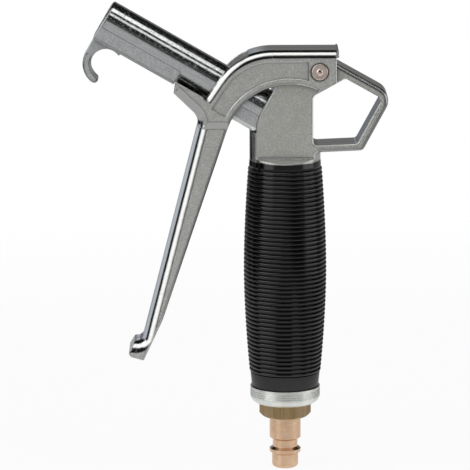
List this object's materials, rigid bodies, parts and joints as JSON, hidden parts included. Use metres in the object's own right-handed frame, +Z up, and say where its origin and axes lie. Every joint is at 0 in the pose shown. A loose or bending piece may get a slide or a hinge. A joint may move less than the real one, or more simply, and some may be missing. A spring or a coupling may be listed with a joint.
{
  "type": "pneumatic air duster",
  "caption": "Cast-metal air blow gun with a tilted barrel and hanging hook, an arched squeeze lever, a hanging loop, a ribbed black rubber grip and a brass quick-coupling plug.",
  "frame": {"origin": "centre of the plug's tip, where the air line is pushed on", "axes": "+Z up the handle, -X towards the barrel's mouth, +X towards the hanging loop, Y across the thickness"},
  "size_m": [0.1144, 0.0314, 0.1794],
  "materials": {
    "body_casting": "satin",
    "barrel_casting": "polished",
    "lever_casting": "satin",
    "grip_rubber": "matte ribbed",
    "bush_metal": "turned",
    "brass": "turned",
    "rivet_metal": "satin",
    "seal_rubber": "matte",
    "seal_fibre": "matte",
    "spring_steel": "drawn wire"
  },
  "bodies": {
    "frame": {"housing": "body_casting", "barrel": "barrel_casting", "barrel_ring": "seal_rubber", "nozzle_insert": "brass", "grip_sleeve": "grip_rubber", "end_bush": "bush_metal", "bush_ring": "seal_rubber", "plug_nipple": "brass", "nipple_ring": "seal_fibre", "gland_bush": "brass", "gland_ring": "seal_rubber", "valve_seat": "brass", "spring_retainer": "brass", "valve_spring": "spring_steel"},
    "lever": {"lever": "lever_casting", "pivot_bush": "rivet_metal", "pivot_rivet": "rivet_metal"},
    "valve": {"valve_pin": "brass", "valve_poppet": "brass", "poppet_seal": "seal_rubber", "poppet_nut": "brass"}
  },
  "joints": [
    {"name": "lever_pivot", "type": "hinge", "parent": "frame", "child": "lever", "pos_m": [0.01287, 0, 0.154], "axis": [0, -1, 0], "range_deg": [0, 12], "stiffness_Nm_per_rad": 0.25, "springref_deg": -34.38},
    {"name": "valve_slide", "type": "slide", "parent": "frame", "child": "valve", "axis": [0, 0, -1], "range_m": [0, 0.00235], "deforming": ["valve_spring"]}
  ],
  "couplings": [
    {"joint": "valve_slide", "follows": "lever_pivot", "m_per_rad": 0.01106}
  ]
}
